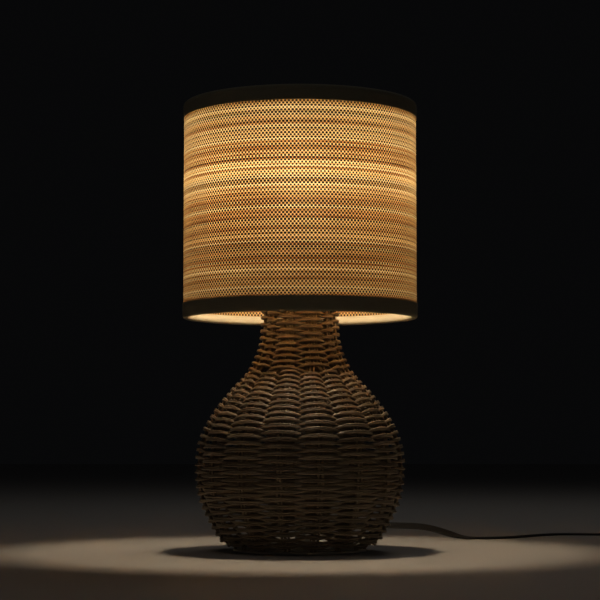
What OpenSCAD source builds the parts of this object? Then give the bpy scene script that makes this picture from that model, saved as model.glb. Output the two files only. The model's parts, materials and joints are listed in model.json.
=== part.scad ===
// Table lamp: a round woven rattan body on a steel foot plate, a drum shade of woven straw
// cloth, a small globe bulb, and a flat two-core flex with a rocker switch and a flat plug.
// Millimetres. +Z is up. The origin is on the table, under the middle of the foot.
// The flex leaves the back of the body, +Y, and lies on the table towards +X.

/* [Body] */
// Height of the woven body, from the foot plate's underside to the top of the neck
body_h = 236; // [220:1:245]
// Radius of the straight part of the neck
neck_r = 37.4; // [35:0.1:39]
// Thickness of the woven wall, from the inner to the outer face of the rods
wall = 7; // [5:0.5:8]
// Radius of the steel foot plate
plate_r = 62; // [58:0.5:64]
// Thickness of the steel foot plate
plate_t = 1.8; // [1.5:0.1:2.5]
// Thickness of the felt pads under the plate
pad_t = 0.8; // [0.5:0.1:1.5]
// Number of pairs of upright stakes round the belly
columns = 16; // [12:2:20]
// Diameter of one upright stake
stake_d = 2.7; // [2:0.1:3]

/* [Shade] */
// Outer radius of the drum's straw cloth
shade_r = 109.5; // [100:0.5:120]
// Height of the shade's lower rim above the table
shade_low = 216.9; // [205:0.1:225]
// Height of the drum, from rim to rim
shade_h = 202.4; // [170:0.1:215]
// Thickness of the stiffened cloth
cloth_t = 1; // [0.6:0.1:1.4]
// Height of the folded band at each rim
band_h = 14; // [10:0.5:18]
// Diameter of the steel wire of the shade's frame
wire_d = 3; // [2:0.1:3.4]

/* [Bulb] */
// Radius of the glass globe
globe_r = 22.5; // [20:0.5:25]
// Height of the middle of the globe above the table
globe_z = 347; // [344:1:352]
// Radius of the small screw cap
screw_r = 6.9; // [6.8:0.01:6.95]

/* [Flex] */
// Width of the flat flex
flex_w = 6.6; // [5:0.1:7]
// Thickness of the flat flex
flex_t = 2.6; // [2:0.1:3]
// Height at which the flex leaves the body
exit_z = 17; // [15:0.5:20]

/* [Hidden] */
$fn = 96;

steel = "silver";
brass = "goldenrod";
rattan = "peru";
straw = "burlywood";
band_cloth = "darkkhaki";
black = "dimgray";

plate_z = pad_t + plate_t;
neck_top = body_h;
neck_bottom = 168;
steps = 4;

// Outer outline of the woven wall, [radius, height], from the foot to the neck.
OUTLINE = [
    [plate_r, plate_z], [74, 8], [85, 25], [95.7, 50], [98.7, 77], [95.2, 104],
    [83.2, 128], [67.2, 149], [50.2, neck_bottom], [39.9, 190], [neck_r, 210],
    [neck_r, neck_top]
];
belly_spans = 8;
all_spans = len(OUTLINE) - 1;

// Smooth curve through the outline's points: span i, from t = 0 to t = 1.
function knot(i) = OUTLINE[max(0, min(all_spans, i))];
function outline(i, t) = 0.5 * (
    2 * knot(i) + (knot(i + 1) - knot(i - 1)) * t
    + (2 * knot(i - 1) - 5 * knot(i) + 4 * knot(i + 1) - knot(i + 2)) * t * t
    + (3 * knot(i) - knot(i - 1) - 3 * knot(i + 1) + knot(i + 2)) * t * t * t);
function unit(v) = v / norm(v);
function slope(i, t) = unit(outline(i, t + 0.01) - outline(i, t - 0.01));
// Point at a given depth under the outer outline, square to it.
function under(i, t, depth) =
    outline(i, t) + depth * [-slope(i, t)[1], slope(i, t)[0]];
// The outline's points from one span to another, at one depth.
function layer(from, to, depth) = concat(
    [for (i = [from : to - 1], k = [0 : steps - 1]) under(i, k / steps, depth)],
    [under(to - 1, 1, depth)]);
function backwards(p) = [for (i = [len(p) - 1 : -1 : 0]) p[i]];
function smooth(x) = let (c = max(0, min(1, x))) c * c * (3 - 2 * c);

// One swept rod or strip: centres, unit side vectors, half width along the side vector,
// half thickness square to it, and the number of sides.
function along(p, i) = unit(p[min(len(p) - 1, i + 1)] - p[max(0, i - 1)]);
module strip(centres, sides, half_w, half_t, n) {
    rings = len(centres);
    points = [for (i = [0 : rings - 1], k = [0 : n - 1])
        let (s = sides[i], u = unit(cross(along(centres, i), s)), a = 360 * (k + 0.5) / n)
        centres[i] + s * half_w * cos(a) + u * half_t * sin(a)];
    faces = concat(
        [[for (k = [0 : n - 1]) k]],
        [[for (k = [n - 1 : -1 : 0]) (rings - 1) * n + k]],
        [for (i = [0 : rings - 2], k = [0 : n - 1])
            [i * n + k, (i + 1) * n + k, (i + 1) * n + (k + 1) % n]],
        [for (i = [0 : rings - 2], k = [0 : n - 1])
            [i * n + k, (i + 1) * n + (k + 1) % n, i * n + (k + 1) % n]]);
    polyhedron(points, faces);
}

// Route of the flex on the table: [x, y, z, roll]. Roll 0 lies flat, 90 stands on edge.
coil_x = 480;
coil_y = 325;
coil_r = 44;
coil_in = 35;
coil_h = 14.8;
ROUTE = [
    [0, 106, exit_z, 90], [2, 119, exit_z, 90], [10, 132, exit_z, 90], [22, 141, exit_z, 90],
    [37, 146, exit_z, 90], [55, 149, exit_z, 90], [73, 151, exit_z, 90], [91, 154, 17, 90],
    [108, 160, 16.4, 90], [124, 168, 15, 88], [139, 178, 11.8, 84], [155, 190, 6.8, 66],
    [170, 202, 2.7, 24], [184, 209, 1.5, 0], [199, 212, 1.4, 0], [213, 219, 1.4, 0],
    [226, 230, 1.4, 0], [239, 246, 1.4, 0], [253, 264, 1.4, 0], [267, 279, 1.4, 0],
    [283, 287, 1.4, 0], [300, 288, 1.4, 0], [317, 285, 1.4, 0], [332, 282, 1.8, 0],
    [346, 281, 4, 0], [357, 281, 6.8, 0], [369, 281, 8, 0], [383, 281, 8, 0],
    [397, 281, 8, 0], [411, 281, 8, 0], [425, 281, 8, 0], [437, 281, 6.8, 15],
    [448, 281, 4.8, 45], [460, 281, 4.4, 75], [466, 281, 4.4, 85]
];
TAIL = [
    [478, 369, 11, 90], [465, 369, 10, 85], [453, 369, 8, 60], [441, 369, 6.6, 25],
    [430, 369, 6.6, 5], [420, 369, 6.85, 0]
];
function place(p) = [p[0], p[1], p[2]];
function level(t) = unit(cross(t, [0, 0, 1]));
function rolled(t, a) = level(t) * cos(a) + unit(cross(level(t), t)) * sin(a);
module flex(route) {
    centres = [for (p = route) place(p)];
    sides = [for (i = [0 : len(route) - 1]) rolled(along(centres, i), route[i][3])];
    strip(centres, sides, flex_w / 2, flex_t / 2, 8);
}

grip_in = 70;
grip_out = 106;
grip_r = 5.5;
tube_r = 5;
tube_top = 256;
clear = 0.3;
fit = 0.08;

// Heights of the lampholder.
holder_low = 246;
sleeve_low = 272;
seat_z = 284;
seat_t = 3;
sleeve_top = 306;
sleeve_r = 14.25;
carrier_t = 1.2;
carrier_z = seat_z + seat_t + clear;
clamp_z = carrier_z + carrier_t + clear;
clamp_h = 10;
clamp_r = 17;

// The shade's rims and frame.
shade_top = shade_low + shade_h;
wire_r = wire_d / 2;
hoop_r = shade_r - cloth_t - 0.1 - wire_r;
hoop_gap = 1.1 + wire_r;
band_t = 0.9;
arm_angles = [90, 210, 330];

// The switch on the flex.
switch_x = 397;
switch_y = 281;
switch_l = 62;
switch_w = 26;
switch_split = 8.5;
switch_h = 17.5;
pivot_z = 15;
rocker_l = 21.6;
rocker_w = 11.4;
rocker_tilt = 10;
screw_spots = [[-22, 8], [22, -8]];

// The flat plug.
plug_y = 369;
plug_front = 372;
plug_back = 406;
plug_h = 13.7;
pin_r = 2;
pin_l = 19;
pin_gap = 18.6;

// A ring turned round the lamp's axis from a closed outline [radius, height].
module turned(p) {
    rotate_extrude() polygon(p);
}
module hoop(r, z, wire) {
    rotate_extrude() translate([r, z]) circle(r = wire, $fn = 24);
}
module rod(a, b, r) {
    d = b - a;
    translate(a)
        rotate([0, acos(d[2] / norm(d)), atan2(d[1], d[0])])
        cylinder(r = r, h = norm(d), $fn = 24);
}

// ---- body ----
module foot_pads() {
    color("saddlebrown")
    for (a = [45 : 90 : 315])
        rotate(a) translate([50, 0, 0]) cylinder(r = 7, h = pad_t);
}
module foot_plate() {
    color("white")
    translate([0, 0, pad_t]) cylinder(r = plate_r, h = plate_t);
}
module tube_boss() {
    color(steel)
    translate([0, 0, plate_z])
    difference() {
        union() {
            cylinder(r = 14, h = 2);
            cylinder(r = 9, h = 9);
        }
        translate([0, 0, -1]) cylinder(r = tube_r + 0.05, h = 11);
    }
}
module centre_tube() {
    color(steel)
    difference() {
        translate([0, 0, plate_z]) cylinder(r = tube_r, h = tube_top - plate_z);
        translate([0, 0, plate_z - 1]) cylinder(r = tube_r - 1, h = tube_top);
        translate([-3, 0, exit_z - 4.5]) cube([6, 8, 20]);
    }
}
module inner_flex() {
    bend = 10;
    core = 2.5;
    color(black) {
        translate([0, grip_in, exit_z]) rotate([90, 0, 0]) cylinder(r = core, h = grip_in - bend);
        translate([0, bend, exit_z + bend]) rotate([90, 0, 90]) rotate(180)
            rotate_extrude(angle = 90) translate([bend, 0]) circle(r = core);
        translate([0, 0, exit_z + bend]) cylinder(r = core, h = 262 - exit_z - bend);
    }
}
module foot_ring() {
    color(steel) hoop(52.4, plate_z + 1.5, 1.5);
}
module neck_ring() {
    color(steel) hoop(neck_r - wall - 1.8, neck_top - 9.6, 1.5);
}
// Stakes run in the middle of the wall: pairs round the belly, bundles of four up the neck.
module stakes() {
    profile = concat([[plate_r - 1.6, plate_z + 0.6]],
        [for (i = [0 : all_spans - 1]) under(i, 0.4, wall / 2)],
        [[knot(all_spans)[0] - wall / 2, neck_top - 1]]);
    color(rattan)
    for (pair = [0 : columns / 2 - 1], s = [-1.5, -0.5, 0.5, 1.5]) {
        bundle = (pair + 0.5) * 720 / columns;
        spread = (s > 0 ? 1 : -1) * 180 / columns;
        step = (s > 0 ? s - 1 : s + 1) * 3.4;
        turns = [for (p = profile) let (m = smooth((p[1] - 150) / 34))
            bundle + (1 - m) * (spread + step / p[0] * 57.3) + m * s * stake_d / p[0] * 57.3];
        centres = [for (i = [0 : len(profile) - 1])
            [profile[i][0] * cos(turns[i]), profile[i][0] * sin(turns[i]), profile[i][1]]];
        sides = [for (a = turns) [-sin(a), cos(a), 0]];
        strip(centres, sides, stake_d / 2, stake_d / 2, 5);
    }
}
module woven_belly() {
    color(rattan)
    difference() {
        turned(concat(layer(0, belly_spans, 0), backwards(layer(0, belly_spans, wall)),
            [[plate_r - 8, plate_z]]));
        translate([0, 110, exit_z]) rotate([90, 0, 0]) cylinder(r = grip_r + 0.2, h = 50);
    }
}
module woven_neck() {
    color(rattan)
    turned(concat(layer(belly_spans, all_spans, 0),
        backwards(layer(belly_spans, all_spans, wall))));
}
module neck_cap() {
    color("saddlebrown")
    difference() {
        union() {
            translate([0, 0, neck_top]) cylinder(r = neck_r - 1.5, h = 3.5);
            translate([0, 0, neck_top - 6]) cylinder(r = neck_r - wall - 0.3, h = 6);
        }
        translate([0, 0, neck_top - 7]) cylinder(r = tube_r + 0.1, h = 12);
    }
}
module neck_nut() {
    color(steel)
    translate([0, 0, neck_top + 3.5])
    difference() {
        cylinder(r = 8.5, h = 5, $fn = 6);
        translate([0, 0, -1]) cylinder(r = tube_r + 0.05, h = 7);
    }
}

// ---- lampholder ----
module holder_cap() {
    top = sleeve_low;
    color("white")
    turned([[tube_r + 0.05, holder_low], [9, holder_low], [12.6, 250], [14.4, 256], [14.8, 262],
        [14.8, top], [13, top], [13, 262], [12.4, 257], [10.4, 252.5], [8, 249.5],
        [tube_r + 0.05, 249.5]]);
}
module holder_sleeve() {
    color("white")
    turned([[12.6, sleeve_low], [14.8, sleeve_low], [14.8, seat_z - 4], [17.5, seat_z - 1],
        [18, seat_z], [18, seat_z + seat_t], [sleeve_r, seat_z + seat_t],
        [sleeve_r, sleeve_top - 1], [sleeve_r - 1, sleeve_top], [12.6, sleeve_top]]);
}
module holder_core() {
    color("white")
    difference() {
        translate([0, 0, 268]) cylinder(r = 12.4, h = 16);
        translate([0, 0, 267]) cylinder(r = 2.8, h = 18);
    }
}
module screw_shell() {
    color(brass)
    translate([0, 0, seat_z])
    difference() {
        cylinder(r = screw_r + fit + 0.6, h = 21);
        translate([0, 0, -1]) cylinder(r = screw_r + fit, h = 23);
    }
}
module centre_contact() {
    color(brass)
    translate([0, 0, 268]) cylinder(r = 2.6, h = 19);
}
module clamp_ring() {
    ribs = 28;
    color("white")
    translate([0, 0, clamp_z])
    difference() {
        union() {
            cylinder(r = clamp_r - 0.6, h = clamp_h);
            for (i = [1 : ribs])
                rotate(i * 360 / ribs) translate([clamp_r - 0.7, 0, 1])
                    cylinder(r = 0.7, h = clamp_h - 2, $fn = 16);
        }
        translate([0, 0, -1]) cylinder(r = sleeve_r + fit, h = clamp_h + 2);
    }
}

// ---- bulb ----
cap_low = 287.5;
cap_top = 308;
module bulb_cap() {
    color(steel)
    turned([[0, cap_low], [2.2, cap_low], [2.6, cap_low + 1.4], [5.6, cap_low + 2],
        [screw_r, cap_low + 4], [screw_r, cap_top], [8.2, cap_top + 2], [8.6, cap_top + 5],
        [0, cap_top + 5]]);
}
// Outline of the glass at a distance inside its outer face.
function glass(inset) = concat(
    [[8.4 - inset, cap_top + 5], [8.8 - inset, cap_top + 10], [9.8 - inset, globe_z - 24]],
    [for (a = [-60 : 10 : 90]) [(globe_r - inset) * cos(a), globe_z + (globe_r - inset) * sin(a)]]);
module bulb_glass() {
    color("ivory")
    turned(concat(glass(0), backwards(glass(0.8))));
}
module bulb_stem() {
    color("lightyellow")
    turned([[0, cap_top + 5], [5, cap_top + 5], [3, cap_top + 12], [2, globe_z - 12],
        [1, globe_z + 12], [0, globe_z + 12]]);
}
module bulb_filaments() {
    color("orange")
    for (a = [45 : 90 : 315])
        rotate(a) rod([5.5, 0, globe_z - 13], [3.5, 0, globe_z + 14], 0.8);
}

// ---- shade ----
module shade_carrier() {
    difference() {
        color(steel) translate([0, 0, carrier_z]) cylinder(r = 21.5, h = carrier_t);
        translate([0, 0, carrier_z - 1]) cylinder(r = sleeve_r + 0.4, h = carrier_t + 2);
    }
}
// Three wires slope down from under the washer to the lower wire ring.
module shade_arms() {
    color(steel)
    for (a = arm_angles)
        rotate(a) rod([hoop_r - 1, 0, shade_low + hoop_gap + 0.5], [20.2, 0, carrier_z - 0.8], 1.25);
}
module lower_wire_ring() {
    color(steel) hoop(hoop_r, shade_low + hoop_gap, wire_r);
}
module upper_wire_ring() {
    color(steel) hoop(hoop_r, shade_top - hoop_gap, wire_r);
}
module shade_cloth() {
    color(straw)
    translate([0, 0, shade_low + hoop_gap])
    difference() {
        cylinder(r = shade_r, h = shade_h - 2 * hoop_gap, $fn = 180);
        translate([0, 0, -1]) cylinder(r = shade_r - cloth_t, h = shade_h, $fn = 180);
    }
}
// Section of a band folded round the rim's wire, drawn upwards from the rim.
module band_section() {
    out = shade_r + band_t;
    in = hoop_r - wire_r - band_t;
    bend = 2.4;
    difference() {
        polygon(concat(
            [[out, band_h]],
            [for (a = [0 : -15 : -90]) [out - bend + bend * cos(a), bend + bend * sin(a)]],
            [for (a = [-90 : -15 : -180]) [in + bend + bend * cos(a), bend + bend * sin(a)]],
            [[in, 3.4], [shade_r - cloth_t - band_t, 7.5], [shade_r - cloth_t - band_t, band_h]]));
        translate([shade_r - cloth_t, hoop_gap]) square([cloth_t, band_h]);
        translate([hoop_r, hoop_gap]) circle(r = wire_r, $fn = 24);
    }
}
module lower_band() {
    color(band_cloth)
    translate([0, 0, shade_low]) rotate_extrude($fn = 180) band_section();
}
module upper_band() {
    color(band_cloth)
    translate([0, 0, shade_top]) mirror([0, 0, 1]) rotate_extrude($fn = 180) band_section();
}

// ---- flex, switch and plug ----
module flex_grip() {
    color(black)
    translate([0, grip_in, exit_z]) rotate([-90, 0, 0]) {
        cylinder(r = grip_r, h = 14);
        translate([0, 0, 14]) cylinder(r1 = grip_r, r2 = 4, h = grip_out - grip_in - 14);
    }
}
module flex_run() {
    color(black) flex(ROUTE);
}
module flex_tail() {
    color(black) flex(TAIL);
}
module flex_coil() {
    color(black)
    translate([coil_x, coil_y, 0.2])
    difference() {
        cylinder(r = coil_r + 2, h = coil_h - 0.2);
        translate([0, 0, -1]) cylinder(r = coil_in, h = coil_h + 2);
    }
}
module coil_tie() {
    long = coil_r + 2 - coil_in;
    color("gray")
    translate([coil_x + coil_in - 1.2, coil_y - 6, 0])
    difference() {
        cube([long + 2.4, 12, coil_h + 1.2]);
        translate([1.2, -1, 0.8]) cube([long, 14, coil_h - 0.8]);
    }
}
// A block with rounded upright edges, standing on z = 0.
module slab(l, w, h, r) {
    linear_extrude(h) {
        square([l - 2 * r, w], center = true);
        square([l, w - 2 * r], center = true);
        for (x = [-1, 1], y = [-1, 1])
            translate([x * (l / 2 - r), y * (w / 2 - r)]) circle(r = r);
    }
}
module flex_slot() {
    translate([-switch_l, -flex_w / 2 - 0.5, -flex_t / 2 - 0.5])
        cube([2 * switch_l, flex_w + 1, flex_t + 1]);
}
module switch_base() {
    color(black)
    translate([switch_x, switch_y, 0])
    difference() {
        slab(switch_l, switch_w, switch_split, 7);
        translate([0, 0, 2]) slab(switch_l - 8, switch_w - 4, switch_split, 5);
        translate([0, 0, 8]) flex_slot();
        for (p = screw_spots) translate([p[0], p[1], -1]) {
            cylinder(r = 1.35, h = 4);
            cylinder(r = 2.6, h = 2.2);
        }
    }
}
module switch_cover() {
    cover_h = switch_h - switch_split;
    color(black)
    translate([switch_x, switch_y, 0])
    difference() {
        union() {
            difference() {
                translate([0, 0, switch_split])
                    slab(switch_l, switch_w, cover_h, 7);
                translate([0, 0, switch_split - 1])
                    slab(switch_l - 8, switch_w - 4, cover_h - 1, 5);
            }
            translate([0, 0, 12]) slab(rocker_l + 6, rocker_w + 5, switch_h - 12, 1);
            for (p = screw_spots)
                translate([p[0], p[1], switch_split]) cylinder(r = 2.5, h = cover_h - 1);
        }
        translate([0, 0, 8]) flex_slot();
        translate([0, 0, 11]) slab(rocker_l + 1.2, rocker_w + 0.8, 8, 0.5);
        translate([0, 0, pivot_z]) rotate([90, 0, 0])
            cylinder(r = 1.25, h = rocker_w + 4, center = true);
        for (p = screw_spots)
            translate([p[0], p[1], switch_split - 1]) cylinder(r = 1.2, h = 7);
    }
}
module switch_rocker() {
    half = rocker_l / 2;
    edge = 1.4;
    color("gainsboro")
    translate([switch_x, switch_y, pivot_z]) rotate([0, rocker_tilt, 0]) rotate([90, 0, 0]) {
        linear_extrude(rocker_w, center = true)
            polygon([[-half + 0.6, -2.2], [half - 0.6, -2.2], [half, edge],
                [0, edge + half * tan(rocker_tilt)], [-half, edge]]);
        cylinder(r = 1.2, h = rocker_w + 3.4, center = true);
    }
}
module switch_contacts() {
    color(brass)
    translate([switch_x, switch_y, 9.6])
    for (x = [-6, 6])
        translate([x - 3, -2.5, 0]) cube([6, 5, 0.6]);
}
module switch_screws() {
    color(steel)
    for (p = screw_spots)
        translate([switch_x + p[0], switch_y + p[1], 0.3]) {
            cylinder(r = 2.4, h = 0.8);
            translate([0, 0, 0.8]) cylinder(r = 1.2, h = 13);
        }
}
module plug_boot() {
    color(black)
    translate([plug_back, plug_y, plug_h / 2]) rotate([0, 90, 0])
        cylinder(r1 = 5, r2 = 3.7, h = 14);
}
module plug_body() {
    waist = 6;
    wide = 17.6;
    mid = plug_front + 14;
    color(black)
    intersection() {
        translate([0, plug_y, 0]) linear_extrude(plug_h)
            polygon([[plug_front, -wide + 2.5], [plug_front + 2.5, -wide], [mid, -wide + 1.6],
                [plug_back - 8, -waist - 2.4], [plug_back, -waist], [plug_back, waist],
                [plug_back - 8, waist + 2.4], [mid, wide - 1.6], [plug_front + 2.5, wide],
                [plug_front, wide - 2.5]]);
        translate([0, plug_y + 30, 0]) rotate([90, 0, 0]) linear_extrude(60)
            polygon([[plug_front, 1.2], [plug_front + 1.2, 0], [mid + 6, 0], [plug_back, 1.8],
                [plug_back, plug_h - 1.8], [mid + 6, plug_h], [plug_front + 1.2, plug_h],
                [plug_front, plug_h - 1.2]]);
    }
}
module plug_pins() {
    color(steel)
    for (s = [-1, 1])
        translate([plug_front, plug_y + s * pin_gap / 2, plug_h / 2]) {
            rotate([0, -90, 0]) {
                cylinder(r = pin_r, h = pin_l - 1);
                translate([0, 0, pin_l - 1]) cylinder(r1 = pin_r, r2 = pin_r - 0.8, h = 1);
            }
            rotate([0, 90, 0]) cylinder(r = pin_r - 0.4, h = 8);
        }
}

foot_pads();
foot_plate();
tube_boss();
centre_tube();
inner_flex();
foot_ring();
neck_ring();
stakes();
woven_belly();
woven_neck();
neck_cap();
neck_nut();
holder_cap();
holder_sleeve();
holder_core();
screw_shell();
centre_contact();
clamp_ring();
bulb_cap();
bulb_glass();
bulb_stem();
bulb_filaments();
shade_carrier();
shade_arms();
lower_wire_ring();
upper_wire_ring();
shade_cloth();
lower_band();
upper_band();
flex_grip();
flex_run();
flex_coil();
coil_tie();
flex_tail();
switch_base();
switch_cover();
switch_rocker();
switch_contacts();
switch_screws();
plug_boot();
plug_body();
plug_pins();
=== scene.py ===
# %% [markdown]
# # A table lamp with a woven rattan body and a straw drum shade
# The lamp is built round a measured frame: every joint, screw and mount is already there at
# its real size. This lesson makes what the eye sees: the weave of the body, the straw cloth
# of the shade, the flat flex, and the finish of every part.

# %% Load the frame and keep its box
import bisect
import json
import math
import random

import bmesh
import bpy
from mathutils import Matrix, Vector, noise


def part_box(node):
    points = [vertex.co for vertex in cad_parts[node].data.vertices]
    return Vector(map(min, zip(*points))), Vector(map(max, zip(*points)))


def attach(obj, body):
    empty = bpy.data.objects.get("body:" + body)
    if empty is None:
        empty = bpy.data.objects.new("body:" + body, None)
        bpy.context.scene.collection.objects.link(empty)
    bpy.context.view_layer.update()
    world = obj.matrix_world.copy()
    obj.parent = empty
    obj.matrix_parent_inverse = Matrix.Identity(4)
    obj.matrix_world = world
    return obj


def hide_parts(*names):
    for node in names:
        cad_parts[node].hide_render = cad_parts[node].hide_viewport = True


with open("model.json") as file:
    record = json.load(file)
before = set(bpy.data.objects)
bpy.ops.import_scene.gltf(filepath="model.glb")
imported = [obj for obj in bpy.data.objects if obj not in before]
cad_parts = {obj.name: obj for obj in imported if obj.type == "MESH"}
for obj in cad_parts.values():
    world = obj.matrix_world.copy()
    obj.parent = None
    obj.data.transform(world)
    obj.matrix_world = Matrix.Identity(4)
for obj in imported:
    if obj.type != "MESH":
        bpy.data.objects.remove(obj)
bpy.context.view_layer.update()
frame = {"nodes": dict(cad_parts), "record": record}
MM = 0.001
nodes = frame["nodes"]

# %% [markdown]
# ## Camera
# The picture is taken from a low tripod 1.7 m in front of the lamp, with a long lens that
# looks up a little, so the shade's rims bend gently and its sides stay almost upright.

# %% Camera
camera = bpy.data.objects.new("camera", bpy.data.cameras.new("camera"))
camera.data.sensor_width = 36.0
camera.data.lens = 110.86
camera.location = (0.0, -1.732, 0.1044)
camera.rotation_euler = (math.radians(94.302), 0.0, 0.0)
bpy.context.scene.collection.objects.link(camera)
bpy.context.scene.camera = camera

# %% [markdown]
# ## Small helpers for meshes
# A finished piece keeps its place in its mesh, so its object stays at the origin. `finished`
# takes a bmesh or a mesh, makes the object, and tells the frame which body carries it and
# which measured nodes it stands for.

# %% Mesh helpers
def finished(name, mesh, body, stands_for):
    if isinstance(mesh, bmesh.types.BMesh):
        made = bpy.data.meshes.new(name)
        mesh.to_mesh(made)
        mesh.free()
        mesh = made
    mesh.name = name
    piece = bpy.data.objects.new(name, mesh)
    bpy.context.scene.collection.objects.link(piece)
    mesh.polygons.foreach_set("use_smooth", [True] * len(mesh.polygons))
    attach(piece, body)
    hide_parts(*stands_for)
    print(f"{name}: {len(mesh.polygons)} faces")
    return piece


def mesh_of(thing):
    """The mesh that a curve, or a piece with modifiers, shows."""
    holder = bpy.data.objects.new("holder", thing)
    bpy.context.scene.collection.objects.link(holder)
    bpy.context.view_layer.update()
    seen = holder.evaluated_get(bpy.context.evaluated_depsgraph_get())
    mesh = bpy.data.meshes.new_from_object(seen)
    bpy.data.objects.remove(holder)
    return mesh


def eased(x):
    x = min(1.0, max(0.0, x))
    return x * x * (3 - 2 * x)


def through(points, parts):
    """A smooth line of tuples through the given points, with so many parts to each span."""
    line = []
    last = len(points) - 1
    for i in range(last):
        a, b, c, d = (points[min(last, max(0, i + k))] for k in (-1, 0, 1, 2))
        for k in range(parts):
            t = k / parts
            line.append(tuple(
                0.5 * (2 * q + (r - p) * t + (2 * p - 5 * q + 4 * r - s) * t * t
                       + (3 * q - p - 3 * r + s) * t ** 3)
                for p, q, r, s in zip(a, b, c, d)))
    line.append(tuple(points[last]))
    return line

# %% [markdown]
# ## The flex
# A flat two-core flex leaves the back of the body on edge, bends round to the side, droops
# to the table and lies in loose curves. The rest of its 1.8 m is wound into a tied coil
# beside the switch, and the plug lies next to it. The route is a list of given points, in
# millimetres, with a roll angle: 0 lies flat and 90 stands on edge. The coil is
# worked out by a loop: it winds inwards on the table and outwards again on top.

# %% Route of the flex
FLEX_W = 6.6
FLEX_T = 2.6
EXIT_Z = 17.0
ROUTE = [
    (0, 106, EXIT_Z, 90), (2, 119, EXIT_Z, 90), (10, 132, EXIT_Z, 90), (22, 141, EXIT_Z, 90),
    (37, 146, EXIT_Z, 90), (55, 149, EXIT_Z, 90), (73, 151, EXIT_Z, 90), (91, 154, 17, 90),
    (108, 160, 16.4, 90), (124, 168, 15, 88), (139, 178, 11.8, 84), (155, 190, 6.8, 66),
    (170, 202, 2.7, 24), (184, 209, 1.5, 0), (199, 212, 1.4, 0), (213, 219, 1.4, 0),
    (226, 230, 1.4, 0), (239, 246, 1.4, 0), (253, 264, 1.4, 0), (267, 279, 1.4, 0),
    (283, 287, 1.4, 0), (300, 288, 1.4, 0), (317, 285, 1.4, 0), (332, 282, 1.8, 0),
    (346, 281, 4, 0), (357, 281, 6.8, 0), (369, 281, 8, 0), (383, 281, 8, 0),
    (397, 281, 8, 0), (411, 281, 8, 0), (425, 281, 8, 0), (437, 281, 6.8, 15),
    (448, 281, 4.8, 45), (460, 281, 4.4, 75), (466, 281, 4.4, 85),
]
TAIL = [
    (465, 369, 10, 85), (453, 369, 8, 60), (441, 369, 6.6, 25),
    (430, 369, 6.6, 5), (420, 369, 6.85, 0),
]
COIL_X = 480.0
COIL_Y = 325.0
COIL_R = 44.0
COIL_TURNS = 4.5
COIL_PITCH = 3.0
COIL_LOW = 4.4
COIL_HIGH = 11.0
STEPS_A_TURN = 24
CLIMB_TURNS = 0.36
FLEX_PARTS = 5


def coil_points():
    count = round(COIL_TURNS * STEPS_A_TURN)
    for i in range(count + 1):
        turn = i / STEPS_A_TURN
        inwards = COIL_PITCH * min(turn, COIL_TURNS - turn)
        climb = eased((turn - COIL_TURNS / 2) / CLIMB_TURNS + 0.5)
        angle = math.radians(360 * turn - 90)
        yield (COIL_X + (COIL_R - inwards) * math.cos(angle),
               COIL_Y + (COIL_R - inwards) * math.sin(angle),
               COIL_LOW + (COIL_HIGH - COIL_LOW) * climb, 90)


flex_line = through(ROUTE + list(coil_points()) + TAIL, FLEX_PARTS)
flex_path = [Vector(p[:3]) * MM for p in flex_line]
flex_length = sum((b - a).length for a, b in zip(flex_path, flex_path[1:]))
print("flex:", round(flex_length, 4), "m along", len(flex_path), "points")

# %% [markdown]
# The section of the flex is a flat oval with a shallow groove down the middle of each face,
# where its two cores meet. A bevel object sweeps that section along the route, and the roll
# angles go into the points' tilt.

# %% Sweep the flex
SECTION_POINTS = 24
ROUND_SIDES = 0.8
ROUND_FACES = 0.55
GROOVE_DEPTH = 0.22
GROOVE_WIDTH = 0.22


def flat_section(width, thick):
    section = bpy.data.curves.new("flex_section", "CURVE")
    spline = section.splines.new("POLY")
    spline.points.add(SECTION_POINTS - 1)
    spline.use_cyclic_u = True
    for i, point in enumerate(spline.points):
        a = 2 * math.pi * i / SECTION_POINTS
        x = math.copysign(abs(math.cos(a)) ** ROUND_SIDES, math.cos(a))
        y = math.copysign(abs(math.sin(a)) ** ROUND_FACES, math.sin(a))
        groove = 1 - GROOVE_DEPTH * math.exp(-(x / GROOVE_WIDTH) ** 2)
        point.co = (x * width / 2, y * groove * thick / 2, 0, 1)
    holder = bpy.data.objects.new("flex_section", section)
    bpy.context.scene.collection.objects.link(holder)
    return holder


def swept(name, line, section):
    curve = bpy.data.curves.new(name, "CURVE")
    curve.dimensions = "3D"
    curve.twist_mode = "Z_UP"
    curve.bevel_mode = "OBJECT"
    curve.bevel_object = section
    curve.use_fill_caps = True
    spline = curve.splines.new("POLY")
    spline.points.add(len(line) - 1)
    for point, (x, y, z, roll) in zip(spline.points, line):
        point.co = (x * MM, y * MM, z * MM, 1)
        point.tilt = math.radians(roll)
    return mesh_of(curve)


section = flat_section(FLEX_W * MM, FLEX_T * MM)
flex = finished("flex", swept("flex", flex_line, section), "lamp",
                ["flex_run", "flex_coil", "flex_tail"])
bpy.data.objects.remove(section)

# %% [markdown]
# ## The weave of the body
# Upright stakes stand in pairs round the belly, in sixteen columns. Long rods run round them,
# in front of one pair and behind the next, and each row starts one pair later than the row
# under it. Up the neck some pairs draw together in fours, which leaves ten columns.
# Each rod is one closed curve with a round bevel. It bulges outwards in a round wave across
# one column and inwards across the next, and the curves of one kind go into one mesh.

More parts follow.
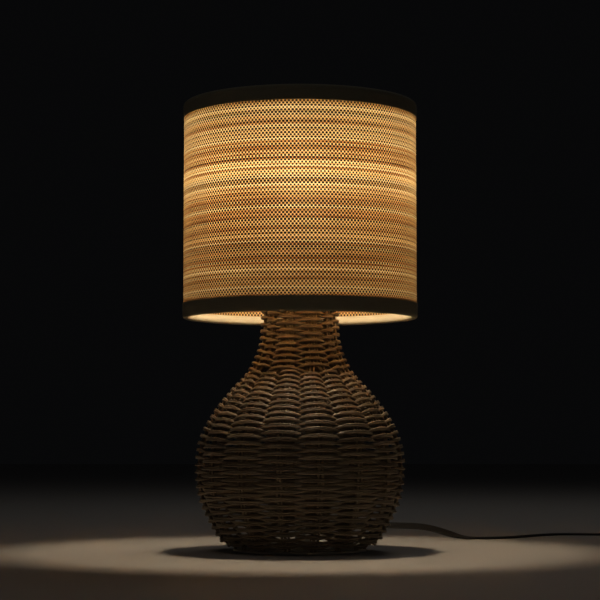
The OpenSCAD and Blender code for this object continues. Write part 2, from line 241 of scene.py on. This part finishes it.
# %% The body's outline and its rows
OUTLINE = [
    (62, 2.6), (74, 8), (85, 25), (95.7, 50), (98.7, 77), (95.2, 104),
    (83.2, 128), (67.2, 149), (50.2, 168), (39.9, 190), (37.4, 210), (37.4, 236),
]
WEAVE_DEPTH = 4.5
STAKE_D = 2.7
NECK_FOOT = 166
OUTLINE_PARTS = 24
BELLY_EDGES = [0, 22.5, 46.5, 70.5, 95, 116, 137, 158.5, 180]
NECK_EDGES = [0, 38, 63, 107, 143, 180]


def wall_line():
    """Points in the middle of the wall: run along it, radius, height, outward direction."""
    outer = [Vector((r, z)) for r, z in through(OUTLINE, OUTLINE_PARTS)]
    line = []
    run = 0.0
    for i, p in enumerate(outer):
        along = (outer[min(len(outer) - 1, i + 1)] - outer[max(0, i - 1)]).normalized()
        out = Vector((along.y, -along.x))
        middle = p - out * WEAVE_DEPTH
        if line:
            run += (middle - line[-1][1]).length
        line.append((run, middle, out))
    return line


WALL_LINE = wall_line()
WALL_RUN = WALL_LINE[-1][0]
NECK_RUN = next(run for run, p, out in WALL_LINE if p.y > NECK_FOOT)


def on_wall(run):
    """The middle of the wall, and its outward direction, at a distance along it."""
    for (a, p, n), (b, q, m) in zip(WALL_LINE, WALL_LINE[1:]):
        if run <= b:
            t = (run - a) / (b - a)
            return p.lerp(q, t), n.lerp(m, t).normalized()
    return WALL_LINE[-1][1], WALL_LINE[-1][2]


print("wall:", round(WALL_RUN, 1), "mm along, neck from", round(NECK_RUN, 1))

# %% Rods that go round
SEGMENTS = 240
FULLNESS = 1.25
PINCH = 0.35
CLIMB = 0.3
WOBBLE = 0.2
UNEVEN = 0.03


def all_round(edges):
    """The edges of the columns on one side, and their mirror image on the other."""
    return edges + [360 - edge for edge in reversed(edges[:-1])]


def in_and_out(angle, edges):
    """1 in front of an even column, -1 behind it, the other way round for an odd one."""
    degrees = math.degrees(angle) % 360
    column = bisect.bisect_right(edges, degrees) - 1
    across = (degrees - edges[column]) / (edges[column + 1] - edges[column])
    return (-1) ** column * math.sin(FULLNESS * math.sin(math.pi * across))


def round_rod(curve, run, gap, lean, edges, depth, behind, radius, dice):
    """One closed rod. lean is 1 or -1: in front of the even or of the odd columns.

    behind says how many times depth it sinks in behind a stake. The two rods of a row lie
    gap above and below its middle, and PINCH is the share of that which is left at a crossing.
    CLIMB, WOBBLE and UNEVEN keep a rod from being perfectly level, round and even."""
    spline = curve.splines.new("POLY")
    spline.points.add(SEGMENTS - 1)
    spline.use_cyclic_u = True
    thick = dice.uniform(0.93, 1.05)
    seed = dice.uniform(0, 50)
    for i, point in enumerate(spline.points):
        angle = 2 * math.pi * i / SEGMENTS
        drift = noise.noise(Vector((1.6 * math.cos(angle), 1.6 * math.sin(angle), seed)))
        wave = lean * in_and_out(angle, edges)
        spread = gap * (PINCH + (1 - PINCH) * abs(wave))
        p, out = on_wall(run + spread + arch(run) * wave + CLIMB * drift)
        p = p + out * (depth * wave * (1 if wave > 0 else behind) + WOBBLE * drift)
        point.co = (p.x * math.sin(angle) * MM, -p.x * math.cos(angle) * MM, p.y * MM, 1)
        point.radius = radius * thick * (1 + UNEVEN * drift)


def rod_mesh(curve, seed):
    """The rods as one mesh, with a number for each rod and a map along and round it."""
    curve.dimensions = "3D"
    curve.bevel_depth = MM
    curve.bevel_resolution = 2
    sizes = [len(s.points) for s in curve.splines]
    mesh = mesh_of(curve)
    dice = random.Random(seed)
    sides = len(mesh.vertices) // sum(sizes)
    values = []
    for size in sizes:
        values += [dice.random()] * (size * sides)
    values += [0.5] * (len(mesh.vertices) - len(values))
    mesh.attributes.new("rod", "FLOAT", "POINT").data.foreach_set("value", values)
    return mesh


def rods(name, rows, seed):
    curve = bpy.data.curves.new(name, "CURVE")
    dice = random.Random(seed)
    for row in rows:
        round_rod(curve, *row, dice)
    return rod_mesh(curve, seed)

# %% [markdown]
# A row is two thin rods, one over the other, so that each arc in front of a stake has a seam
# along it. The arcs rise in the middle, most of all on the shoulder. Under the widest part
# the upper rod of a row is tucked in a little behind the lower one. The neck's rods are
# thicker, and the belly's sink in deeper behind a stake than they stand out in front of one.
# The rows lie closer together towards the shoulder, where the weaver packs them down. They
# are counted down and up from a row just under it.

# %% Rows of the belly and the neck
ROD_R = 0.94
PAIR_GAP = 0.84
NECK_ROD_R = 1.08
NECK_GAP = 0.62
SWING = 3.2
SHOULDER_RUN = 165.6
LOW_PITCH = 3.42
HIGH_PITCH = 3.06
NECK_START = 201.6
NECK_PITCH = 3.27
ARCH = [(0, 0.2), (70, 0.4), (110, 0.9), (150, 1.7), (190, 1.5), (215, 0.5), (300, 0.4)]
TURN_UNDER = 82.6
TUCK = 1.2
FOOT_TURN = 14
BELLY_BEHIND = 1.6
NECK_BEHIND = 1
LOWEST_ROW = 5.0
NECK_CLEAR = 1.2
RIM_CLEAR = 2.4


def belly_rows():
    rows = []
    for direction in (-1, 1):
        run = SHOULDER_RUN
        lean = -1
        while LOWEST_ROW < run < NECK_RUN - NECK_CLEAR:
            rows.append((run, lean))
            lean = -lean
            run += direction * (LOW_PITCH + (HIGH_PITCH - LOW_PITCH) * run / NECK_RUN)
    return sorted(set(rows))


def neck_rows():
    below = math.floor((NECK_START - NECK_RUN) / NECK_PITCH)
    above = math.floor((WALL_RUN - RIM_CLEAR - NECK_START) / NECK_PITCH)
    for k in range(-below, above + 1):
        yield NECK_START + k * NECK_PITCH, -1 if k % 2 == 0 else 1


def arch(run):
    """How far the middle of an arc is pushed up along the wall."""
    for (a, low), (b, high) in zip(ARCH, ARCH[1:]):
        if run <= b:
            return low + (high - low) * max(0, run - a) / (b - a)
    return ARCH[-1][1]


def paired(rows, edges, gap, radius, behind):
    """Two rods a row. Under the widest part the upper one is tucked in behind the lower."""
    rods_of = []
    for run, lean in rows:
        height = on_wall(run)[0].y
        tuck = TUCK if height < TURN_UNDER else 0
        sink = behind if height > FOOT_TURN else 1
        rods_of.append((run, -gap, lean, all_round(edges), SWING, sink, radius))
        rods_of.append((run, gap, lean, all_round(edges), SWING - tuck, sink, radius))
    return rods_of


belly = paired(belly_rows(), BELLY_EDGES, PAIR_GAP, ROD_R, BELLY_BEHIND)
neck = paired(neck_rows(), NECK_EDGES, NECK_GAP, NECK_ROD_R, NECK_BEHIND)
third = len(belly) // 3
parts = {"lower_weave": belly[:third], "middle_weave": belly[third:2 * third],
         "upper_weave": belly[2 * third:]}
belly_weave = [finished(name, rods(name, rows, 3 + i), "lamp",
                        ["woven_belly"])
               for i, (name, rows) in enumerate(parts.items())]
neck_weave = finished("neck_weave", rods("neck_weave", neck, 7), "lamp",
                      ["woven_neck"])
print("rods:", len(belly), "round the belly,", len(neck), "round the neck")

# %% [markdown]
# The stakes follow the middle of the wall, in a pair behind the middle of each column.
# Between the belly and the neck some pairs lean over to a neighbour and run up beside it,
# four together, and the other pairs go up alone.

# %% Stakes
PAIR_TO_NECK = [0, 0, 1, 2, 2, 3, 4, 4]
PLACES = [(-1.5, -0.5), (0.5, 1.5), (-0.5, 0.5), (-1.5, -0.5), (0.5, 1.5), (-0.5, 0.5),
          (-1.5, -0.5), (0.5, 1.5)]
PAIR_APART = 3.4
NECK_APART = 2.6
LEAN_FROM = 148
LEAN_OVER = 36
THIN_FROM = 150
THIN_OVER = 34
THINNER = 0.08
STAKE_STEPS = 84
STAKE_FOOT = 3.0
STAKE_SHORT = 0.6
STAKE_SHAKE = 0.3


def middle(edges, k):
    return math.radians((edges[k] + edges[k + 1]) / 2)


def stake_turn(height, radius, pair, one):
    """The angle of a stake of a pair, on the right-hand side, at a height."""
    together = eased((height - LEAN_FROM) / LEAN_OVER)
    apart = middle(BELLY_EDGES, pair) + (one - 0.5) * PAIR_APART / radius
    close = middle(NECK_EDGES, PAIR_TO_NECK[pair]) + PLACES[pair][one] * NECK_APART / radius
    return apart + (close - apart) * together


def stakes():
    curve = bpy.data.curves.new("cane_stakes", "CURVE")
    curve.use_fill_caps = True
    dice = random.Random(11)
    foot = Vector((on_wall(0)[0].x, STAKE_FOOT))
    line = [foot] + [on_wall(i * (WALL_RUN - STAKE_SHORT) / STAKE_STEPS)[0]
                     for i in range(STAKE_STEPS + 1)]
    for side in (-1, 1):
        for pair in range(len(PAIR_TO_NECK)):
            for one in (0, 1):
                spline = curve.splines.new("POLY")
                spline.points.add(len(line) - 1)
                seed = dice.uniform(0, 50)
                for point, p in zip(spline.points, line):
                    shake = STAKE_SHAKE * noise.noise(Vector((p.y * 0.05, seed, 0))) / p.x
                    angle = side * (stake_turn(p.y, p.x, pair, one) + shake)
                    point.co = (p.x * math.sin(angle) * MM, -p.x * math.cos(angle) * MM,
                                p.y * MM, 1)
                    thin = THINNER * eased((p.y - THIN_FROM) / THIN_OVER)
                    point.radius = STAKE_D / 2 * (1 - thin)
    return rod_mesh(curve, 13)


cane_stakes = finished("cane_stakes", stakes(), "lamp", ["stakes"])

# %% [markdown]
# ## The shade
# The straw cloth is one sheet rolled into a drum, with its ends lapped at the back. It
# starts as a flat grid, which keeps a flat map of the cloth for the weave, and each row and
# column of the grid is then moved to its place on the drum. The bands are strips folded
# over the wire rings in the same way.

# %% Roll a sheet round the lamp's axis
_, cloth_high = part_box("shade_cloth")
SHADE_R = cloth_high.x / MM
band_low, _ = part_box("lower_band")
_, band_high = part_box("upper_band")
LOW_RIM = band_low.z / MM
HIGH_RIM = band_high.z / MM
AROUND = 288
STEP_ON = 3
SHEET_LIFT = 0.5


def rolled(section, lap):
    """A sheet with the given section, rolled once round, with lap degrees of overlap.

    Over STEP_ON degrees its end climbs on to its beginning, by SHEET_LIFT."""
    sheet = bmesh.new()
    uv = sheet.loops.layers.uv.new("flat")
    last = len(section) - 1
    bmesh.ops.create_grid(sheet, x_segments=AROUND, y_segments=last, size=0.5)
    run = [0.0]
    for a, b in zip(section, section[1:]):
        run.append(run[-1] + math.dist(a, b))
    turn = math.radians(360 + lap)
    flat = {}
    for v in sheet.verts:
        across = v.co.x + 0.5
        k = round((v.co.y + 0.5) * last)
        r, z = section[k]
        over = eased((across * (360 + lap) - 360 + STEP_ON) / STEP_ON) * SHEET_LIFT
        angle = math.pi - across * turn
        flat[v] = (across * turn * SHADE_R * MM, run[k] * MM)
        v.co = ((r + over) * math.sin(angle) * MM, -(r + over) * math.cos(angle) * MM,
                z * MM)
    for face in sheet.faces:
        for loop in face.loops:
            loop[uv].uv = flat[loop.vert]
    return sheet, (turn * SHADE_R * MM, run[-1] * MM)


# %% The straw drum
CLOTH_INSET = 5
CLOTH_ROWS = 24
CLOTH_LAP = 6
cloth_height = HIGH_RIM - LOW_RIM - 2 * CLOTH_INSET
cloth_section = [(SHADE_R, LOW_RIM + CLOTH_INSET + i * cloth_height / CLOTH_ROWS)
                 for i in range(CLOTH_ROWS + 1)]
sheet, cloth_size = rolled(cloth_section, CLOTH_LAP)
drum = finished("drum", sheet, "shade", ["shade_cloth"])
print("straw cloth:", [round(s, 4) for s in cloth_size])

# %% The folded bands
BAND_H = 14.0
WIRE_R = 1.5
BAND_LAP = 5
BAND_THICK = 0.0005


def band_section():
    """From the outer edge down, round the wire, and up the inside."""
    out = SHADE_R + 0.55
    hoop = SHADE_R - 1.1 - WIRE_R
    wrap = WIRE_R + 0.75
    points = [(out, BAND_H - i * 1.6) for i in range(7)]
    points[0] = (out - 0.15, BAND_H)
    points += [(out - 0.5 * (1 - math.cos(a)) - wrap * (1 - math.cos(a)) * 0.55,
                wrap + 0.6 - (wrap + 0.3) * math.sin(a))
               for a in (math.radians(d) for d in range(15, 91, 15))]
    points += [(hoop + wrap * math.cos(a), wrap + 0.35 + wrap * math.sin(a))
               for a in (math.radians(d) for d in range(-105, -211, -15))]
    points += [(hoop - wrap * 0.8, 4.6), (SHADE_R - 2.6, 6.2), (SHADE_R - 1.5, 7.4),
               (SHADE_R - 1.0, 8.6)]
    return points


def band(name, stands_for, place):
    section = [(r, place(z)) for r, z in band_section()]
    sheet, size = rolled(section, BAND_LAP)
    bmesh.ops.recalc_face_normals(sheet, faces=sheet.faces)
    piece = finished(name, sheet, "shade", [stands_for])
    cloth = piece.modifiers.new("cloth", "SOLIDIFY")
    cloth.thickness = BAND_THICK
    cloth.offset = 0.0
    print(name, [round(s, 4) for s in size])
    return piece


lower_fold = band("lower_fold", "lower_band", lambda z: LOW_RIM + z)
upper_fold = band("upper_fold", "upper_band", lambda z: HIGH_RIM - z)

# %% [markdown]
# ## Shader nodes written as sums
# `Wire` wraps a socket, so that + - * / on it add Math nodes. `Paint` is one material, and
# its `node` method makes any other node from its type, its settings and its sockets.

# %% Wire and Paint
class Wire:
    def __init__(self, paint, socket):
        self.paint = paint
        self.socket = socket

    def math(self, operation, *others):
        inputs = dict(enumerate((self,) + others))
        return self.paint.node("Math", {"operation": operation}, inputs)

    def __add__(self, other):
        return self.math("ADD", other)

    def __sub__(self, other):
        return self.math("SUBTRACT", other)

    def __mul__(self, other):
        return self.math("MULTIPLY", other)

    def __truediv__(self, other):
        return self.math("DIVIDE", other)

    def other(self, number):
        """Another output of the same node."""
        return Wire(self.paint, self.socket.node.outputs[number])

    def __rsub__(self, other):
        return self.paint.node("Math", {"operation": "SUBTRACT"}, {0: other, 1: self})

    __radd__ = __add__


class Paint:
    def __init__(self, name):
        self.material = bpy.data.materials.new(name)
        self.material.use_nodes = True
        self.tree = self.material.node_tree
        self.tree.nodes.clear()

    def node(self, kind, settings=None, sockets=None, out=0):
        made = self.tree.nodes.new("ShaderNode" + kind)
        for key, value in (settings or {}).items():
            if key == "stops":
                self.set_stops(made.color_ramp, value)
            else:
                setattr(made, key, value)
        for key, value in (sockets or {}).items():
            if isinstance(value, Wire):
                self.tree.links.new(value.socket, made.inputs[key])
            else:
                made.inputs[key].default_value = value
        return Wire(self, made.outputs[out])

    @staticmethod
    def set_stops(ramp, stops):
        while len(ramp.elements) < len(stops):
            ramp.elements.new(0.5)
        for element, (at, colour) in zip(ramp.elements, stops):
            element.position = at
            element.color = (*colour, 1)

    def blend(self, amount, a, b):
        """A colour between a and b."""
        sides = {6: a if isinstance(a, Wire) else (*a, 1),
                 7: b if isinstance(b, Wire) else (*b, 1)}
        return self.node("Mix", {"data_type": "RGBA"}, {0: amount, **sides}, out=2)

    def noise(self, vector, scale, detail=2.0, rough=0.5):
        return self.node("TexNoise", {}, {"Vector": vector, "Scale": scale, "Detail": detail,
                                          "Roughness": rough})

    def place(self):
        return self.node("TexCoord", out=3)

    def surface(self, shader):
        end = self.tree.nodes.new("ShaderNodeOutputMaterial")
        self.tree.links.new(shader.socket, end.inputs["Surface"])
        return self.material

    def principled(self, **sockets):
        names = {key.replace("_", " "): value for key, value in sockets.items()}
        return self.node("BsdfPrincipled", {}, names)

    def bump(self, height, distance, strength=1.0):
        return self.node("Bump", {}, {"Height": height, "Distance": distance,
                                      "Strength": strength})


def wear(piece, material):
    piece.data.materials.clear()
    piece.data.materials.append(material)

# %% [markdown]
# ## Rattan
# Bare cane is tan, each rod a little different, with fine fibres along it, a few darker
# streaks and a dull skin. The curve's own map runs along and round each rod, so the fibres
# follow the bends.

# %% Rattan
def rattan(name, dark, light):
    p = Paint(name)
    rod = p.node("Attribute", {"attribute_name": "rod"}, out=2)
    cane_map = p.node("UVMap", {"uv_map": "UVMap"})
    stretch = p.node("Mapping", {}, {"Vector": cane_map, "Scale": (46.0, 5.0, 1.0)})
    shift = p.node("VectorMath", {"operation": "ADD"},
                   {0: stretch, 1: p.node("CombineXYZ", {}, {2: rod * 57.0})})
    fibres = p.noise(shift, 2.2, 4.0, 0.62)
    patches = p.noise(p.place(), 28.0, 2.0)
    tone = rod * 0.5 + fibres * 0.2 + patches * 0.3
    streak = p.node("MapRange", {}, {"Value": fibres, "From Min": 0.62, "From Max": 0.75})
    colour = p.blend(tone, dark, light)
    colour = p.blend(streak * 0.15, colour, tuple(c * 0.45 for c in dark))
    fine = p.node("Mapping", {}, {"Vector": cane_map, "Scale": (120.0, 22.0, 1.0)})
    ridges = p.noise(fine, 2.0, 3.0, 0.6)
    return p.surface(p.principled(
        Base_Color=colour, Roughness=0.38 + fibres * 0.22,
        Normal=p.bump(ridges, 0.00005, 0.4)))


cane = rattan("rattan_rods", (0.168, 0.12, 0.072), (0.43, 0.345, 0.25))
stake_cane = rattan("rattan_stakes", (0.185, 0.132, 0.08), (0.43, 0.34, 0.24))
for piece in belly_weave + [neck_weave]:
    wear(piece, cane)
wear(cane_stakes, stake_cane)

# %% [markdown]
# ## Straw cloth
# The cloth is a plain weave: flat straws lie round the drum, 2 mm apart, and threads
# cross them, over one straw and under the next. Where a thread goes over, the colour is a
# near-black spot: the thread, darkened with painted shade of the recess where the straw dips
# under it. Every straw has its own colour, from cream to red brown, which drifts slowly
# along it. Between two straws the colour is darkened with painted shade, and beside some
# gaps the straws are paler.
# Light from the bulb comes through the straws, most of all midway between two threads, and is
# stopped by the threads and the gaps, so one pattern sets both the colour and how much of
# the surface lets light through. Thin straw scatters nearly all of that light, and a small
# share goes on in a wide blur.

# %% Straw cloth
STRAW_PITCH = 0.00204
THREAD_PITCH = 0.00337


def straw_cloth():
    p = Paint("straw_cloth")
    flat = p.node("UVMap", {"uv_map": "flat"})
    along = p.node("SeparateXYZ", {}, {"Vector": flat})
    up = along.other(1)
    place = up / STRAW_PITCH
    row = place.math("FLOOR")
    edge_row = (place + 0.5).math("FLOOR")
    odd = (row * 0.5).math("FRACT") * 2.0
    off_thread = ((along / THREAD_PITCH + odd * 0.5).math("FRACT") - 0.5).math("ABSOLUTE") * 2
    off_middle = (place.math("FRACT") - 0.5).math("ABSOLUTE") * 2
    straw = p.node("TexWhiteNoise", {"noise_dimensions": "1D"}, {"W": row})
    lap = p.node("TexWhiteNoise", {"noise_dimensions": "1D"}, {"W": edge_row + 71.3})
    weight = p.node("TexWhiteNoise", {"noise_dimensions": "1D"}, {"W": row + 33.7})
    slow = p.node("CombineXYZ", {}, {0: along * 14.0, 1: row * 3.7})
    drift = p.noise(slow, 1.0, 2.0)
    tone = straw * 0.65 + drift * 0.8 - 0.25
    ramp = p.node("ValToRGB", {"stops": [
        (0.0, (0.26, 0.085, 0.018)), (0.2, (0.48, 0.20, 0.045)),
        (0.45, (0.66, 0.36, 0.10)), (0.7, (0.76, 0.50, 0.19)),
        (1.0, (0.86, 0.68, 0.36))]}, {0: tone})
    edge = p.node("MapRange", {"interpolation_type": "SMOOTHSTEP"},
                  {"Value": lap - off_middle * 0.25, "From Min": 0.62, "From Max": 0.86})
    straws = p.blend(edge * 0.7, ramp, (0.95, 0.82, 0.52))
    fibre = p.node("CombineXYZ", {}, {0: along * 160.0, 1: up * 2600.0})
    grain = p.noise(fibre, 1.0, 3.0, 0.6)
    straws = p.blend(grain * 0.7 - 0.2, straws, (0.30, 0.15, 0.05))
    far = (off_thread * off_thread * 1.7 + off_middle * off_middle).math("SQRT")
    spot = p.node("MapRange", {"interpolation_type": "SMOOTHSTEP"},
                  {"Value": far - weight * 0.3, "From Min": 0.56, "From Max": 0.98})
    gap = p.node("MapRange", {"interpolation_type": "SMOOTHSTEP"},
                 {"Value": off_middle - lap * 0.22, "From Min": 0.6, "From Max": 0.95})
    # Painted shade: the colour is darkened along the gap between two straws.
    straws = p.blend(gap * 0.75, straws, (0.10, 0.04, 0.012))
    # Where spot is 0, at each crossing, the colour is painted near black: the thread, darkened
    # with painted shade of the recess where the straw dips under it.
    colour = p.blend(spot, (0.012, 0.007, 0.004), straws)
    height = spot * 0.8 + grain * 0.2
    body = p.principled(Base_Color=colour, Roughness=0.75, Specular_IOR_Level=0.3,
                        Normal=p.bump(height, 0.0004, 0.7))
    pale = p.node("BsdfTranslucent", {}, {"Color": (1.0, 0.765, 0.39, 1)})
    brown = p.node("BsdfTranslucent", {}, {"Color": (0.62, 0.25, 0.04, 1)})
    warmth = (tone + edge * 0.7).math("MINIMUM", 1.0)
    glow = p.node("MixShader", {}, {0: warmth, 1: brown, 2: pale})
    straight = p.node("BsdfRefraction", {}, {"Color": (1.0, 0.80, 0.46, 1),
                                             "Roughness": 0.85, "IOR": 1.45})
    glow = p.node("MixShader", {}, {0: 0.04, 1: glow, 2: straight})
    crown = off_thread * (1 - off_middle * 0.7)
    through = spot * (1 - gap * 0.8) * (0.01 + warmth * 0.19 + crown * 0.27)
    return p.surface(p.node("MixShader", {}, {0: through, 1: body, 2: glow}))


wear(drum, straw_cloth())

# %% [markdown]
# ## Band cloth
# A fine khaki linen. Its two sets of threads are sine waves across the strip's flat map.

# %% Band cloth
def linen(name, dark, light, pitch):
    p = Paint(name)
    flat = p.node("UVMap", {"uv_map": "flat"})
    split = p.node("SeparateXYZ", {}, {"Vector": flat})
    up = split.other(1)
    turns = 2 * math.pi / pitch
    warp = (split * turns).math("SINE") * 0.5 + 0.5
    weft = (up * turns).math("SINE") * 0.5 + 0.5
    thread = p.node("CombineXYZ", {}, {0: split * 60.0, 1: up * 1800.0})
    slub = p.noise(thread, 1.0, 3.0, 0.6)
    weave = warp * weft * 0.6 + slub * 0.5
    colour = p.blend(weave, dark, light)
    return p.surface(p.principled(Base_Color=colour, Roughness=0.9,
                                  Normal=p.bump(weave, 0.0003, 0.5)))


band_linen = linen("band_linen", (0.24, 0.205, 0.13), (0.56, 0.50, 0.35), 0.0009)
wear(lower_fold, band_linen)
wear(upper_fold, band_linen)

# %% [markdown]
# ## Plastics, metals and the rest
# Each gets its own colour; most also get a fine texture in the bump, and some a little change
# in roughness.

# %% Plain finishes
def moulded(name, colour, rough, grain=1400.0, depth=0.00003):
    p = Paint(name)
    where = p.place()
    spark = p.noise(where, grain, 2.0)
    cloud = p.noise(where, 60.0, 2.0)
    shade = p.blend(cloud * 0.5, colour, tuple(c * 0.75 for c in colour))
    return p.surface(p.principled(Base_Color=shade, Roughness=rough + cloud * 0.12,
                                  Normal=p.bump(spark, depth, 0.5)))


def metal(name, colour, rough, brushed=0.0):
    p = Paint(name)
    where = p.place()
    lines = p.node("Mapping", {}, {"Vector": where, "Scale": (1.0, 1.0, 1.0 + brushed)})
    marks = p.noise(lines, 420.0, 3.0)
    smear = p.noise(where, 45.0, 2.0)
    shade = p.blend(smear * 0.6, colour, tuple(c * 0.78 for c in colour))
    return p.surface(p.principled(Base_Color=shade, Metallic=1.0,
                                  Roughness=rough + marks * 0.15,
                                  Normal=p.bump(marks, 0.00002, 0.4)))


def felt():
    p = Paint("felt")
    hairs = p.noise(p.place(), 900.0, 4.0, 0.7)
    return p.surface(p.principled(
        Base_Color=p.blend(hairs, (0.05, 0.035, 0.025), (0.16, 0.12, 0.09)), Roughness=1.0,
        Normal=p.bump(hairs, 0.0003)))


def stained_wood():
    p = Paint("stained_wood")
    rings = p.node("TexWave", {"wave_type": "RINGS", "rings_direction": "X"},
                   {"Vector": p.place(), "Scale": 60.0, "Distortion": 6.0, "Detail": 3.0})
    return p.surface(p.principled(
        Base_Color=p.blend(rings, (0.10, 0.052, 0.024), (0.20, 0.11, 0.05)), Roughness=0.5,
        Normal=p.bump(rings, 0.0001, 0.4)))


def glowing(name, colour, strength, base):
    p = Paint(name)
    speck = p.noise(p.place(), 300.0, 2.0)
    return p.surface(p.principled(
        Base_Color=p.blend(speck * 0.2, base, tuple(c * 0.9 for c in base)), Roughness=0.4,
        Emission_Color=(*colour, 1), Emission_Strength=strength))


finishes = {
    "felt": felt(),
    "plate_paint": moulded("plate_paint", (0.8, 0.77, 0.71), 0.25, 900.0, 0.00002),
    "zinc_steel": metal("zinc_steel", (0.62, 0.62, 0.6), 0.25, 4.0),
    "stained_wood": stained_wood(),
    "holder_plastic": moulded("holder_plastic", (0.8, 0.78, 0.72), 0.3),
    "holder_core": moulded("holder_core", (0.76, 0.73, 0.66), 0.5),
    "brass": metal("brass", (0.78, 0.58, 0.25), 0.22),
    "flex_pvc": moulded("flex_pvc", (0.030, 0.030, 0.030), 0.42, 2200.0, 0.00002),
    "tie_strap": moulded("tie_strap", (0.04, 0.04, 0.042), 0.85, 2600.0, 0.0002),
    "switch_plastic": moulded("switch_plastic", (0.028, 0.028, 0.028), 0.45, 1800.0, 0.00004),
    "rocker_plastic": moulded("rocker_plastic", (0.04, 0.04, 0.04), 0.3),
    "plug_pvc": moulded("plug_pvc", (0.030, 0.030, 0.030), 0.45, 1800.0, 0.00004),
    "pin_metal": metal("pin_metal", (0.75, 0.73, 0.68), 0.15),
    "white_wire": moulded("white_wire", (0.78, 0.75, 0.68), 0.4),
    "cap_metal": metal("cap_metal", (0.74, 0.72, 0.66), 0.2),
    "opal_glass": glowing("opal_glass", (1.0, 0.81, 0.57), 110.0, (0.93, 0.9, 0.84)),
    "clear_glass": moulded("clear_glass", (0.8, 0.8, 0.8), 0.1),
    "filament": glowing("filament", (1.0, 0.7, 0.3), 20.0, (0.9, 0.7, 0.3)),
}
slot_of = {s["node"]: s["material_slot"] for s in frame["record"]["subparts"]}
for name, node in nodes.items():
    if slot_of[name] in finishes:
        wear(node, finishes[slot_of[name]])
wear(flex, finishes["flex_pvc"])

# %% [markdown]
# ## Table and light
# A pale plain table top, a weak soft light from above on the left, a faint one from the
# right, one from high behind, and a nearly black sky. The lamp is lit, and its own bulb does
# most of the work.

# %% Table and light
TABLE_REACH = 6.0
table = bmesh.new()
bmesh.ops.create_grid(table, x_segments=1, y_segments=1, size=TABLE_REACH)
table_mesh = bpy.data.meshes.new("table_top")
table.to_mesh(table_mesh)
table.free()
table_top = bpy.data.objects.new("table_top", table_mesh)
bpy.context.scene.collection.objects.link(table_top)
pale = Paint("pale_table")
wear(table_top, pale.surface(pale.principled(Base_Color=(0.66, 0.625, 0.585, 1),
                                             Roughness=0.65)))


def soft_light(name, place, aim, size, power, colour):
    lamp = bpy.data.lights.new(name, "AREA")
    lamp.size = size
    lamp.energy = power
    lamp.color = colour
    holder = bpy.data.objects.new(name, lamp)
    holder.location = place
    turn = Vector(aim) - Vector(place)
    holder.rotation_euler = turn.to_track_quat("-Z", "Y").to_euler()
    bpy.context.scene.collection.objects.link(holder)


soft_light("key", (-0.4, -0.6, 1.65), (0, -0.05, 0.1), 0.6, 0.35, (1.0, 0.96, 0.91))
soft_light("fill", (1.2, -0.7, 1.0), (0, 0, 0.1), 0.9, 0.06, (0.96, 0.97, 1.0))
soft_light("back", (0.4, 0.9, 1.5), (0, 0.1, 0.1), 0.6, 0.6, (1.0, 0.96, 0.91))
world = bpy.data.worlds.new("sky")
bpy.context.scene.world = world
world.use_nodes = True
world.node_tree.nodes["Background"].inputs[0].default_value = (0.9, 0.92, 1.0, 1)
world.node_tree.nodes["Background"].inputs[1].default_value = 0.0025
bpy.context.scene.view_settings.view_transform = "Standard"
